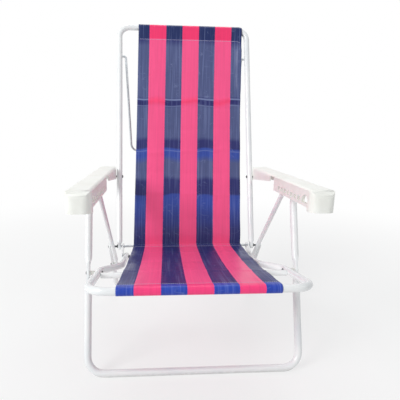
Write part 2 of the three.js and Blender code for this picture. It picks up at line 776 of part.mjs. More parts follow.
// The arm's outline from above, drawn in by an inset, as a prism up to the given rise
function armPlan(side, inset, high) {
  const plan = new THREE.Shape();
  const [x0, x1] = [armInner + inset, armOuter - inset];
  const [rear, front] = [-armRearPast + inset, armFrontReach - inset];
  const r = armCornerRadius - inset;
  plan.moveTo(rear + r, x0);
  plan.lineTo(front - r, x0);
  plan.absarc(front - r, x0 + r, r, -Math.PI / 2, 0, false);
  plan.lineTo(front, x1 - r);
  plan.absarc(front - r, x1 - r, r, 0, Math.PI / 2, false);
  plan.lineTo(rear + r, x1);
  plan.absarc(rear + r, x1 - r, r, Math.PI / 2, Math.PI, false);
  plan.lineTo(rear, x0 + r);
  plan.absarc(rear + r, x0 + r, r, Math.PI, 1.5 * Math.PI, false);
  const prism = new THREE.ExtrudeGeometry(plan, { depth: high - trimLow, bevelEnabled: false, curveSegments: 6 });
  const basis = new THREE.Matrix4().makeBasis(
    new THREE.Vector3(0, -1, 0),
    new THREE.Vector3(side, 0, 0),
    new THREE.Vector3(0, 0, 1),
  );
  prism.applyMatrix4(basis);
  prism.translate(0, 0, trimLow);
  return prism;
}
// The arm's outline from the front, with its two long top edges rounded, as a prism along the arm
function armSection(side) {
  const section = new THREE.Shape();
  const [x0, x1] = [armInner, armOuter];
  const r = armEdgeRadius;
  section.moveTo(x0, trimLow);
  section.lineTo(x1, trimLow);
  section.lineTo(x1, armTop - r);
  section.absarc(x1 - r, armTop - r, r, 0, Math.PI / 2, false);
  section.lineTo(x0 + r, armTop);
  section.absarc(x0 + r, armTop - r, r, Math.PI / 2, Math.PI, false);
  const prism = new THREE.ExtrudeGeometry(section, {
    depth: armRearPast + armFrontReach,
    bevelEnabled: false,
    curveSegments: 5,
  });
  const basis = new THREE.Matrix4().makeBasis(
    new THREE.Vector3(side, 0, 0),
    new THREE.Vector3(0, 0, 1),
    new THREE.Vector3(0, -1, 0),
  );
  prism.applyMatrix4(basis);
  prism.translate(0, armRearPast, 0);
  return prism;
}
// A quarter turn of the nose from the plate down to the lip, at a depth below the outer skin
function noseTurn(depth) {
  const points = [];
  for (let k = 0; k <= turnSteps; k += 1) {
    const angle = (Math.PI / 2) * (k / turnSteps);
    points.push([
      noseStart + (noseTurnLength - depth) * Math.sin(angle),
      armTop - noseTurnDrop + (noseTurnDrop - depth) * Math.cos(angle),
    ]);
  }
  return points;
}
// The arm's outline from the side: a round rear edge, a flat top and the turned nose
function armProfile() {
  const points = [[-armRearPast, trimLow], [armFrontReach, trimLow], ...noseTurn(0).reverse()];
  for (let k = 0; k <= turnSteps; k += 1) {
    const angle = (Math.PI / 2) * (k / turnSteps);
    points.push([
      -armRearPast + armEdgeRadius * (1 - Math.sin(angle)),
      armTop - armEdgeRadius * (1 - Math.cos(angle)),
    ]);
  }
  return points;
}
function armSlab(points, x0, x1, side) {
  const shape = new THREE.Shape(points.map(([reach, rise]) => new THREE.Vector2(reach, rise)));
  return side > 0 ? sidePlate(shape, x0, x1) : sidePlate(shape, -x1, -x0);
}
// The rack's openings: slanted notches from the top pin forward, then an arch for lying flat
function rackOpenings() {
  const openings = [];
  for (let n = 0; n < notchCount; n += 1) {
    const middle = pinReach + n * notchPitch;
    openings.push([
      [middle - notchWidth / 2, -notchLow],
      [middle + notchWidth / 2, -notchLow],
      [middle + notchWidth / 2 + notchLean, notchHigh],
      [middle - notchWidth / 2 + notchLean, notchHigh],
    ]);
  }
  const arch = [];
  for (let k = 0; k <= 8; k += 1) {
    const angle = (Math.PI * k) / 8;
    arch.push([archMiddle + archHalf * Math.cos(angle), -notchLow + archRise * Math.sin(angle)]);
  }
  openings.push(arch);
  return openings;
}
const bossRadius = armBossDia / 2;
const origin = new THREE.Vector2(0, 0);
for (const [word, side] of sides) {
  const topSlab = armSlab([
    [-armRearPast, plateLow],
    ...noseTurn(armPlateThick),
    [armFrontReach - armPlateThick, lip],
    [armFrontReach, lip],
    [armFrontReach, armTop],
    [-armRearPast, armTop],
  ], armInner, armOuter, side);
  // The round ends: a block at each end of the arm with the inside of the arm cut out of it
  const endBlock = (from, to, low) => armSlab([
    [from, low],
    [to, low],
    [to, armTop],
    [from, armTop],
  ], armInner, armOuter, side);
  const inside = armPlan(side, armWallThick, plateLow);
  const nose = cut(endBlock(noseBack, armFrontReach, lip), [inside]);
  const rearEnd = cut(endBlock(-armRearPast, -armRearPast + armCornerRadius, 0), [inside]);
  const wall = (edge) => [
    [-armRearPast, armTop - 1],
    [-armRearPast, 0],
    [-bossRadius * 0.7, -bossRadius * 0.8],
    [bossRadius * 0.7, -bossRadius * 0.8],
    ...edge,
    [edge[edge.length - 1][0], armTop - 1],
  ];
  const outerEdge = [[outerWallReach, outerWallRise], [noseBack + armWallThick, frontSkirtRise]];
  const outerWall = armSlab(wall(outerEdge), armOuter - armWallThick, armOuter, side);
  const innerEdge = [[innerWallReach, outerWallRise]];
  const innerWall = armSlab(wall(innerEdge), armInner, armInner + armWallThick, side);
  const rackIn = armInner + rackInset;
  const rackOut = rackIn + rackWallThick;
  const rackPlate = armSlab([
    [rackRear, -rackDrop],
    [rackFront, -rackDrop],
    [rackFront, plateLow + 1],
    [rackRear, plateLow + 1],
  ], rackIn, rackOut, side);
  const rackCuts = rackOpenings().map((points) => armSlab(points, rackIn - 1, rackOut + 1, side));
  const rackWall = cut(rackPlate, rackCuts);
  const boss = side > 0
    ? crossBar(origin, armBossDia, armInner, armOuter)
    : crossBar(origin, armBossDia, -armOuter, -armInner);
  const solid = toManifold(join([topSlab, nose, rearEnd, outerWall, innerWall, rackWall, boss]));
  const sideOutline = toManifold(armSlab(armProfile(), armInner, armOuter, side));
  const endOutline = toManifold(armPlan(side, 0, trimHigh)).intersect(toManifold(armSection(side)));
  const trimmed = fromManifold(solid.intersect(endOutline).intersect(sideOutline));
  const arm = cut(trimmed, [rivetHole(origin, armInner - 5, armOuter + 5, side)]);
  arm.rotateX(-armTilt);
  arm.translate(0, -armPivot.x, armPivot.y);
  add(`armrest_${word}`, arm, whitePlastic());
  add(`arm_rivet_${word}`,
    rivet(armPivot, backHalf - tubeRadius - clearance, armOuter + clearance, side), rivetSteel());
}

// The group stands with its base on z = 0 and its outer box centred on x = 0, y = 0
const box = new THREE.Box3().setFromObject(chair);
chair.position.set(-(box.min.x + box.max.x) / 2, -(box.min.y + box.max.y) / 2, -box.min.z);

export default chair;
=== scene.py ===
import math

import bpy
from mathutils import Matrix, Vector


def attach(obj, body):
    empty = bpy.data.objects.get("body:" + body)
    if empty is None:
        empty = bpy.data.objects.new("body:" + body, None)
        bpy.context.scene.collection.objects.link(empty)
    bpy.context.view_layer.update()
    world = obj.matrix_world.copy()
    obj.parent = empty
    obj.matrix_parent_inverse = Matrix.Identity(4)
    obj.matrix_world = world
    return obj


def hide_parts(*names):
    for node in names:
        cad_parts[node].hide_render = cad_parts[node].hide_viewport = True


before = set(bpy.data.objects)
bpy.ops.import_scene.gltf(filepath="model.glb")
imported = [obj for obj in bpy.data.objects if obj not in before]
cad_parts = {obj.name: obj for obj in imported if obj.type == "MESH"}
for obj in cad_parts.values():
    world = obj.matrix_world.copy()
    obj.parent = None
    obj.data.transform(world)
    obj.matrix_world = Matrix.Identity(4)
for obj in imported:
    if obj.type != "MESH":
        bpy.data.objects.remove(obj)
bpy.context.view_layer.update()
scene = bpy.context.scene
bpy.ops.object.select_all(action="DESELECT")


# Seat frame, crossbar and its two plugs. The frame is one bent steel tube, painted white,
# drawn in behind the front leg pivots, with the crossbar welded between its sides.
# Plastic plugs close the sawn ends.
def linear(code):
    parts = [int(code[i:i + 2], 16) / 255 for i in (1, 3, 5)]
    return tuple(c / 12.92 if c <= 0.04045 else ((c + 0.055) / 1.055) ** 2.4 for c in parts) + (1.0,)


def add_node(tree, kind, inputs=None, **settings):
    node = tree.nodes.new(kind)
    for name, value in settings.items():
        setattr(node, name, value)
    for socket, value in (inputs or {}).items():
        if isinstance(value, bpy.types.NodeSocket):
            tree.links.new(value, node.inputs[socket])
        else:
            node.inputs[socket].default_value = value
    return node


def set_ramp(node, stops, interpolation="LINEAR"):
    ramp = node.color_ramp
    ramp.interpolation = interpolation
    while len(ramp.elements) > 1:
        ramp.elements.remove(ramp.elements[-1])
    ramp.elements[0].position = stops[0][0]
    ramp.elements[0].color = linear(stops[0][1])
    for place, code in stops[1:]:
        ramp.elements.new(place).color = linear(code)


def new_material(name):
    material = bpy.data.materials.new(name)
    material.use_nodes = True
    tree = material.node_tree
    tree.nodes.clear()
    return material, tree


weld_distance = 0.00002
rounded_angle = 55
rounding_steps = 3


def dress_solid(names, material, crease_angle=32, round_edge=0.0):
    for name in names:
        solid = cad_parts[name]
        solid.data.materials.clear()
        solid.data.materials.append(material)
        for face in solid.data.polygons:
            face.use_smooth = True
        weld = solid.modifiers.new("weld", "WELD")
        weld.merge_threshold = weld_distance
        if round_edge:
            rounding = solid.modifiers.new("rounding", "BEVEL")
            rounding.width = round_edge
            rounding.segments = rounding_steps
            rounding.limit_method = "ANGLE"
            rounding.angle_limit = math.radians(rounded_angle)
        split = solid.modifiers.new("crease", "EDGE_SPLIT")
        split.split_angle = math.radians(crease_angle)
        split.use_edge_sharp = False
        if round_edge:
            flat_faces = solid.modifiers.new("flat faces", "WEIGHTED_NORMAL")
            flat_faces.mode = "FACE_AREA"
            flat_faces.weight = 100
            flat_faces.keep_sharp = True


# White stoving enamel on steel tube: an even glossy coat with a faint orange peel of about
# 1.5 mm, cooler and greyer where it has dulled, and mottled darker grey over the lowest 16 mm, towards the
# ground.
dull_patch = 0.09
foot_mottle_size = 0.012
grey_foot_height = 0.016
peel_size = 0.0015
white_enamel, tree = new_material("white_enamel")
place = add_node(tree, "ShaderNodeTexCoord").outputs["Object"]
dulling = add_node(tree, "ShaderNodeTexNoise", {"Vector": place, "Scale": 1 / dull_patch, "Detail": 4.0})
tone = add_node(tree, "ShaderNodeValToRGB", {"Fac": dulling.outputs["Fac"]})
set_ramp(tone, [(0.3, "#EDF0F2"), (0.52, "#F6F8F8"), (0.75, "#F9FAF9")])
height = add_node(tree, "ShaderNodeSeparateXYZ", {"Vector": place}).outputs["Z"]
foot_mottle = add_node(tree, "ShaderNodeTexNoise", {"Vector": place, "Scale": 1 / foot_mottle_size, "Detail": 5.0})
# Mottled darker grey over the lowest 16 mm, towards the ground.
near_ground = add_node(
    tree, "ShaderNodeMapRange", {"Value": height, 1: 0.0, 2: grey_foot_height, 3: 0.75, 4: 0.0})
grey_foot = add_node(
    tree, "ShaderNodeMath", {0: near_ground.outputs[0], 1: foot_mottle.outputs["Fac"]}, operation="MULTIPLY")
coat = add_node(
    tree, "ShaderNodeMix", {0: grey_foot.outputs[0], 6: tone.outputs["Color"], 7: linear("#A9A7A0")},
    data_type="RGBA")
gloss = add_node(tree, "ShaderNodeMapRange", {"Value": dulling.outputs["Fac"], 3: 0.3, 4: 0.2})
peel = add_node(tree, "ShaderNodeTexNoise", {"Vector": place, "Scale": 1 / peel_size, "Detail": 2.0})
relief = add_node(
    tree, "ShaderNodeBump", {"Height": peel.outputs["Fac"], "Strength": 0.04, "Distance": 0.0003})
shader = add_node(tree, "ShaderNodeBsdfPrincipled", {
    "Base Color": coat.outputs[2], "Roughness": gloss.outputs[0], "Normal": relief.outputs["Normal"],
    "IOR": 1.5, "Coat Weight": 0.35, "Coat Roughness": 0.08})
add_node(tree, "ShaderNodeOutputMaterial", {"Surface": shader.outputs[0]})
dress_solid(["seat_frame", "seat_crossbar"], white_enamel)

# White nylon, moulded: duller than the enamel, a little warm, with a fine grain of 0.8 mm.
nylon_grain = 0.0008
nylon_cloud = 0.015
white_nylon, tree = new_material("white_nylon")
place = add_node(tree, "ShaderNodeTexCoord").outputs["Object"]
grain = add_node(tree, "ShaderNodeTexNoise", {"Vector": place, "Scale": 1 / nylon_grain, "Detail": 3.0})
cloud = add_node(tree, "ShaderNodeTexNoise", {"Vector": place, "Scale": 1 / nylon_cloud, "Detail": 2.0})
tone = add_node(tree, "ShaderNodeValToRGB", {"Fac": cloud.outputs["Fac"]})
set_ramp(tone, [(0.35, "#D9DAD3"), (0.7, "#E9EAE4")])
relief = add_node(
    tree, "ShaderNodeBump", {"Height": grain.outputs["Fac"], "Strength": 0.06, "Distance": 0.0002})
gloss = add_node(tree, "ShaderNodeMapRange", {"Value": cloud.outputs["Fac"], 3: 0.42, 4: 0.55})
shader = add_node(tree, "ShaderNodeBsdfPrincipled", {
    "Base Color": tone.outputs["Color"], "Roughness": gloss.outputs[0],
    "Normal": relief.outputs["Normal"], "IOR": 1.53})
add_node(tree, "ShaderNodeOutputMaterial", {"Surface": shader.outputs[0]})
dress_solid(["seat_end_plug_left", "seat_end_plug_right"], white_nylon)


# Hinge brackets. Stamped steel plates, riveted to the outside of the seat tubes and painted
# with them, which carry the crease rod and the rear leg pins.
dress_solid(["hinge_bracket_left", "hinge_bracket_right"], white_enamel)


# Rivets, pins and the caps of the crease rod. Solid steel, zinc plated and then chromated, so
# that their heads look dark grey beside the white tubes.
spangle_size = 0.003
rivet_zinc, tree = new_material("dark_zinc_plate")
place = add_node(tree, "ShaderNodeTexCoord").outputs["Object"]
spangle = add_node(tree, "ShaderNodeTexNoise", {"Vector": place, "Scale": 1 / spangle_size, "Detail": 4.0})
tone = add_node(tree, "ShaderNodeValToRGB", {"Fac": spangle.outputs["Fac"]})
set_ramp(tone, [(0.3, "#3E3F42"), (0.55, "#5D5F63"), (0.8, "#7C7B78")])
gloss = add_node(tree, "ShaderNodeMapRange", {"Value": spangle.outputs["Fac"], 3: 0.3, 4: 0.55})
relief = add_node(
    tree, "ShaderNodeBump", {"Height": spangle.outputs["Fac"], "Strength": 0.15, "Distance": 0.0002})
shader = add_node(tree, "ShaderNodeBsdfPrincipled", {
    "Base Color": tone.outputs["Color"], "Roughness": gloss.outputs[0],
    "Normal": relief.outputs["Normal"], "Metallic": 1.0})
add_node(tree, "ShaderNodeOutputMaterial", {"Surface": shader.outputs[0]})
rivets = []
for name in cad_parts:
    if "rivet" in name or "pin_" in name or "cap_" in name:
        rivets.append(name)
dress_solid(rivets, rivet_zinc, crease_angle=40)


# Front leg frame, rear leg frame and braces. Bent steel tubes in the same white enamel,
# pressed flat where a rivet goes through, with nylon bushes between the moving faces.
dress_solid(["front_leg_frame", "rear_leg_frame", "brace_left", "brace_right"], white_enamel)
bushes = []
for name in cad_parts:
    if "bush" in name:
        bushes.append(name)
dress_solid(bushes, white_nylon)


# Backrest frame. An upturned U of the same tube, flattened at its feet, where it hinges on
# the crease rod.
dress_solid(["backrest_frame"], white_enamel)


# Crease rod and hanging bail. Drawn steel rod with a bright zinc coat, seen as pale grey
# with a fine mottle of about 4 mm.
mottle_size = 0.004
bright_rod, tree = new_material("bright_zinc_rod")
place = add_node(tree, "ShaderNodeTexCoord").outputs["Object"]
mottle = add_node(tree, "ShaderNodeTexNoise", {"Vector": place, "Scale": 1 / mottle_size, "Detail": 4.0})
tone = add_node(tree, "ShaderNodeValToRGB", {"Fac": mottle.outputs["Fac"]})
set_ramp(tone, [(0.3, "#A6ABB0"), (0.55, "#C4C8CC"), (0.8, "#D9DCDE")])
gloss = add_node(tree, "ShaderNodeMapRange", {"Value": mottle.outputs["Fac"], 3: 0.28, 4: 0.45})
relief = add_node(
    tree, "ShaderNodeBump", {"Height": mottle.outputs["Fac"], "Strength": 0.08, "Distance": 0.0002})
shader = add_node(tree, "ShaderNodeBsdfPrincipled", {
    "Base Color": tone.outputs["Color"], "Roughness": gloss.outputs[0],
    "Normal": relief.outputs["Normal"], "Metallic": 0.85})
add_node(tree, "ShaderNodeOutputMaterial", {"Surface": shader.outputs[0]})
dress_solid(["crease_rod", "prop_bail"], bright_rod, crease_angle=50)


# Armrests. Injection moulded polypropylene, off-white, with a drooped nose, side walls and a
# notched rack on which the chair's top pin rests.
flow_size = 0.05
# The real spark texture is about 0.3 mm, drawn here at 0.9 mm so that it shows.
spark_size = 0.0009
arm_plastic, tree = new_material("moulded_polypropylene")
place = add_node(tree, "ShaderNodeTexCoord").outputs["Object"]
flow = add_node(tree, "ShaderNodeTexNoise", {"Vector": place, "Scale": 1 / flow_size, "Detail": 3.0})
tone = add_node(tree, "ShaderNodeValToRGB", {"Fac": flow.outputs["Fac"]})
set_ramp(tone, [(0.3, "#F3F3EC"), (0.55, "#F9FAF4"), (0.8, "#FBFBF7")])
texture = add_node(tree, "ShaderNodeTexNoise", {"Vector": place, "Scale": 1 / spark_size, "Detail": 2.0})
relief = add_node(
    tree, "ShaderNodeBump", {"Height": texture.outputs["Fac"], "Strength": 0.06, "Distance": 0.0002})
gloss = add_node(tree, "ShaderNodeMapRange", {"Value": flow.outputs["Fac"], 3: 0.46, 4: 0.34})
shader = add_node(tree, "ShaderNodeBsdfPrincipled", {
    "Base Color": tone.outputs["Color"], "Roughness": gloss.outputs[0],
    "Normal": relief.outputs["Normal"], "IOR": 1.49})
add_node(tree, "ShaderNodeOutputMaterial", {"Surface": shader.outputs[0]})
dress_solid(["armrest_left", "armrest_right"], arm_plastic, crease_angle=50, round_edge=0.0022)


# Seat cloth. Striped woven raffia of flat plastic tape, glossy, cut as one strip. Its rear end
# is sewn into a tunnel on the crease rod and its front end into a snug pocket on the front bar.
# Its path is laid out in millimetres, in the side view, and is turned into metres as it is hung.
cloth_width = 380.0
cloth_thick = 1.0
cloth_gap = 0.3
cloth_columns = 96
stripe_widths = [39.0, 61.5, 59.0, 61.5, 59.0, 61.5, 39.0]
tube_radius = 10.0
rod_radius = 4.0
crease_at = Vector((116.462, 253.003))
front_bar_at = Vector((-364.538, 299.962))
tube_wrap = tube_radius + cloth_gap + cloth_thick / 2
rod_wrap = rod_radius + cloth_gap + cloth_thick / 2


def touch_angle(point, centre, radius, turn):
    away = point - centre
    return math.atan2(away.y, away.x) + turn * math.acos(radius / away.length)


def wrap_round(path, centre, radius, start, end):
    steps = 26
    for i in range(steps + 1):
        angle = start + (end - start) * i / steps
        path.append(centre + radius * Vector((math.cos(angle), math.sin(angle))))


def walk(path):
    lengths = [0.0]
    for i in range(1, len(path)):
        lengths.append(lengths[-1] + (path[i] - path[i - 1]).length)
    return lengths


def point_on(path, lengths, distance):
    i = 1
    while i < len(path) - 1 and lengths[i] < distance:
        i += 1
    share = (distance - lengths[i - 1]) / max(lengths[i] - lengths[i - 1], 1e-6)
    along = (path[i] - path[i - 1]).normalized()
    return path[i - 1].lerp(path[i], share), along


def smooth(low, high, value):
    share = min(max((value - low) / (high - low), 0.0), 1.0)
    return share * share * (3 - 2 * share)


tunnel_stitch = 11.0
tunnel_hem = 6.0
pocket_stitch = Vector((17.0, 8.0))
pocket_hem = Vector((8.0, -1.2))
seat_sag = 6.0
seat_steps = 120
ply_gap = cloth_thick + 0.2
seat_end = front_bar_at + pocket_stitch
seat_run = (seat_end - crease_at).normalized()
seat_up = Vector((seat_run.y, -seat_run.x))
seat_start = crease_at + tunnel_stitch * seat_run
seat_path = [seat_start - ply_gap * seat_up + tunnel_hem * seat_run, seat_start - ply_gap * seat_up]
low_touch = touch_angle(seat_path[-1], crease_at, rod_wrap, 1)
high_touch = touch_angle(seat_start, crease_at, rod_wrap, -1)
wrap_round(seat_path, crease_at, rod_wrap, low_touch, high_touch + 2 * math.pi)
seat_tunnel_end = len(seat_path)
for i in range(seat_steps + 1):
    share = i / seat_steps
    dip = seat_sag * 4 * share * (1 - share) * seat_up
    seat_path.append(seat_start.lerp(seat_end, share) - dip)
seat_panel_end = len(seat_path) - 1
under_end = seat_end - Vector((0.0, ply_gap))
top_touch = touch_angle(seat_end, front_bar_at, tube_wrap, 1)
under_touch = touch_angle(under_end, front_bar_at, tube_wrap, -1)
wrap_round(seat_path, front_bar_at, tube_wrap, top_touch, under_touch + 2 * math.pi)
seat_path.append(under_end)
seat_path.append(under_end + pocket_hem)
seat_lengths = walk(seat_path)
seat_panel_from = seat_lengths[seat_tunnel_end]
seat_panel_to = seat_lengths[seat_panel_end]
seat_rows = 220
held_at_tunnel = 0.12
held_at_pocket = 0.9
seat_ripple = 1.1
seat_ripple_pitch = 122
seat_ripple_phase = 0.6
seat_edge_from = 165
cloth_edge = 190
seat_edge_wave = 1.6
seat_edge_waves = 2.6
seat_edge_right_phase = 0.5
seat_edge_left_phase = 2.1
# Each fold of the seat has its share of the length, its height, its slant and its half width.
seat_folds = ((0.2, 1.0, 0.05, 9), (0.46, -1.2, -0.04, 14), (0.7, 1.2, 0.06, 11))
seat_slide_rear = 5.0
seat_slide_change = -11.0


def hang_seat(across, distance):
    at, along = point_on(seat_path, seat_lengths, distance)
    up = Vector((along.y, -along.x))
    share = (distance - seat_panel_from) / (seat_panel_to - seat_panel_from)
    inside = min(max(share, 0.0), 1.0)
    free = smooth(0.0, held_at_tunnel, share) * smooth(1.0, held_at_pocket, share)
    ripple = math.sin(2 * math.pi * across / seat_ripple_pitch + seat_ripple_phase)
    lift = seat_ripple * ripple * math.sin(math.pi * inside)
    edge = smooth(seat_edge_from, cloth_edge, abs(across))
    phase = seat_edge_right_phase if across > 0 else seat_edge_left_phase
    lift += seat_edge_wave * edge * math.sin(2 * math.pi * share * seat_edge_waves + phase)
    for where, tall, slope, wide in seat_folds:
        off = (share - where) * (seat_panel_to - seat_panel_from) - slope * across
        lift += tall * math.exp(-(off / wide) ** 2)
    at = at + free * lift * up
    slide = seat_slide_rear + seat_slide_change * inside
    return Vector(((across + slide) / 1000, at.x / 1000, at.y / 1000))


def cut_sheet(name, length, rows):
    bpy.ops.object.select_all(action="DESELECT")
    bpy.ops.mesh.primitive_grid_add(x_subdivisions=cloth_columns, y_subdivisions=rows, size=1.0)
    sheet = bpy.context.object
    sheet.name = name
    for corner in sheet.data.uv_layers[0].data:
        corner.uv = (corner.uv[0] * cloth_width / 1000, corner.uv[1] * length / 1000)
    return sheet


def hang_sheet(sheet, length, hang):
    for vertex in sheet.data.vertices:
        across = vertex.co.x * cloth_width
        vertex.co = hang(across, (vertex.co.y + 0.5) * length)
    bpy.ops.object.shade_smooth()
    solidify = sheet.modifiers.new("thickness", "SOLIDIFY")
    solidify.thickness = cloth_thick / 1000
    solidify.offset = 0.0
    bpy.ops.object.modifier_apply(modifier="thickness")


# Woven raffia: flat polypropylene tape in a plain weave with a glossy film on it. The tape is
# about 2 mm wide and is drawn at 3 mm so that it shows. The dark stripes are streaked along the
# warp. They carry painted reflection in bluer and greyer bands and in pale streaks, and painted
# highlights in short glints and on the fold lines. The pocket past its seam takes one painted tone
# of light and shade.
tape_wide = 0.003
fray_size = 0.004
fray_reach = 0.0016
band_size = (0.09, 0.2)
band_shift = 0.04
wrinkle_size = 0.035
# Painted highlights: the size of the short pale glints on the dark stripes.
streak_size = (0.005, 0.2)
painted_glint_size = (0.05, 0.022)
line_sway = 0.024
seam_blend = 2.0


def raffia(name, length, dark_stops, pink_stops, fold_highlights, pocket):
    material, tree = new_material(name)
    flat = add_node(tree, "ShaderNodeUVMap").outputs["UV"]
    place = add_node(tree, "ShaderNodeTexCoord").outputs["Object"]
    parts = add_node(tree, "ShaderNodeSeparateXYZ", {"Vector": flat})
    across = parts.outputs["X"]
    along = parts.outputs["Y"]
    fray = add_node(tree, "ShaderNodeTexNoise", {"Vector": flat, "Scale": 1 / fray_size, "Detail": 2.0})
    shake = add_node(
        tree, "ShaderNodeMath", {0: fray.outputs["Fac"], 1: fray_reach, 2: -fray_reach / 2},
        operation="MULTIPLY_ADD")
    shaken = add_node(tree, "ShaderNodeMath", {0: across, 1: shake.outputs[0]}, operation="ADD")
    share = add_node(
        tree, "ShaderNodeMath", {0: shaken.outputs[0], 1: 1000 / cloth_width}, operation="MULTIPLY")
    stripes = add_node(tree, "ShaderNodeValToRGB", {"Fac": share.outputs[0]})
    stops = []
    edge = 0.0
    for i, wide in enumerate(stripe_widths):
        stops.append((edge / sum(stripe_widths), "#FFFFFF" if i % 2 else "#000000"))
        edge += wide
    set_ramp(stripes, stops, "CONSTANT")
    bare = add_node(tree, "ShaderNodeMapRange", {"Value": stripes.outputs["Color"], 3: 1.0, 4: 0.0})
    bands = add_node(
        tree, "ShaderNodeMapping", {"Vector": flat, "Scale": (1 / band_size[0], 1 / band_size[1], 1.0)})
    drift = add_node(
        tree, "ShaderNodeTexNoise", {"Vector": bands.outputs[0], "Scale": 1.0, "Detail": 0.5})
    wrinkle = add_node(
        tree, "ShaderNodeTexNoise",
        {"Vector": place, "Scale": 1 / wrinkle_size, "Detail": 3.0, "Distortion": 0.6})
    moved = add_node(
        tree, "ShaderNodeMath", {0: drift.outputs["Fac"], 1: band_shift, 2: -band_shift / 2},
        operation="MULTIPLY_ADD")
    level = add_node(tree, "ShaderNodeMath", {0: along, 1: moved.outputs[0]}, operation="ADD")
    level = add_node(tree, "ShaderNodeMath", {0: level.outputs[0], 1: 1000 / length}, operation="MULTIPLY")
    dark = add_node(tree, "ShaderNodeValToRGB", {"Fac": level.outputs[0]})
    set_ramp(dark, dark_stops)
    pink = add_node(tree, "ShaderNodeValToRGB", {"Fac": level.outputs[0]})
    set_ramp(pink, pink_stops)
    # Past the pocket's seam, one painted tone of light and shade replaces each stripe's colour.
    pocket_from, pocket_painted_navy, pocket_painted_pink = pocket
    pocket_painted_mask = add_node(tree, "ShaderNodeMapRange", {
        "Value": along, 1: pocket_from / 1000, 2: (pocket_from + seam_blend) / 1000, 3: 0.0, 4: 1.0})
    dark = add_node(
        tree, "ShaderNodeMix",
        {0: pocket_painted_mask.outputs[0], 6: dark.outputs["Color"], 7: linear(pocket_painted_navy)}, data_type="RGBA")
    pink = add_node(
        tree, "ShaderNodeMix",
        {0: pocket_painted_mask.outputs[0], 6: pink.outputs["Color"], 7: linear(pocket_painted_pink)}, data_type="RGBA")
    tone = add_node(
        tree, "ShaderNodeMix",
        {0: stripes.outputs["Color"], 6: dark.outputs[2], 7: pink.outputs[2]}, data_type="RGBA")
    long_grain = add_node(
        tree, "ShaderNodeMapping", {"Vector": flat, "Scale": (1 / streak_size[0], 1 / streak_size[1], 1.0)})
    streaks = add_node(
        tree, "ShaderNodeTexNoise", {"Vector": long_grain.outputs[0], "Scale": 1.0, "Detail": 3.0})
    light = add_node(
        tree, "ShaderNodeMapRange", {"Value": streaks.outputs["Fac"], 1: 0.25, 2: 0.75, 3: 0.86, 4: 1.14})
    streaked = add_node(tree, "ShaderNodeMapRange", {"Value": bare.outputs[0], 3: 0.5, 4: 1.0})
    lit = add_node(
        tree, "ShaderNodeMix", {0: streaked.outputs[0], 6: tone.outputs[2], 7: light.outputs[0]},
        data_type="RGBA", blend_type="MULTIPLY")
    # Painted highlights: short pale glints where a narrow ridge of noise meets the wrinkle noise.
    creased = add_node(
        tree, "ShaderNodeMapping", {"Vector": flat, "Scale": (1 / painted_glint_size[0], 1 / painted_glint_size[1], 1.0)})
    fold = add_node(tree, "ShaderNodeTexNoise", {"Vector": creased.outputs[0], "Scale": 1.0, "Detail": 1.0})
    ridge = add_node(tree, "ShaderNodeMath", {0: fold.outputs["Fac"], 1: 0.5}, operation="SUBTRACT")
    ridge = add_node(tree, "ShaderNodeMath", {0: ridge.outputs[0]}, operation="ABSOLUTE")
    line = add_node(
        tree, "ShaderNodeMapRange", {"Value": ridge.outputs[0], 1: 0.0, 2: 0.02, 3: 1.0, 4: 0.0})
    some = add_node(
        tree, "ShaderNodeMapRange", {"Value": wrinkle.outputs["Fac"], 1: 0.52, 2: 0.7, 3: 0.0, 4: 0.4})
    painted_glints = add_node(tree, "ShaderNodeMath", {0: line.outputs[0], 1: some.outputs[0]}, operation="MULTIPLY")
    # Painted sheen: pale streaks along the warp on the dark stripes.
    painted_sheen_streaks = add_node(
        tree, "ShaderNodeMapRange", {"Value": streaks.outputs["Fac"], 1: 0.52, 2: 0.75, 3: 0.0, 4: 0.35})
    pale = add_node(tree, "ShaderNodeMath", {0: painted_glints.outputs[0], 1: painted_sheen_streaks.outputs[0]}, operation="MAXIMUM")
    # Painted highlights: pale lines along the fold lines, which sway with the drift noise.
    sway = add_node(
        tree, "ShaderNodeMath", {0: drift.outputs["Fac"], 1: line_sway, 2: along}, operation="MULTIPLY_ADD")
    for at, half_width, strength in fold_highlights:
        off = add_node(
            tree, "ShaderNodeMath", {0: sway.outputs[0], 1: at / 1000 + line_sway / 2}, operation="SUBTRACT")
        off = add_node(tree, "ShaderNodeMath", {0: off.outputs[0]}, operation="ABSOLUTE")
        crease = add_node(tree, "ShaderNodeMapRange", {
            "Value": off.outputs[0], 1: half_width / 2000, 2: half_width / 1000, 3: strength, 4: 0.0})
        pale = add_node(
            tree, "ShaderNodeMath", {0: pale.outputs[0], 1: crease.outputs[0]}, operation="MAXIMUM")
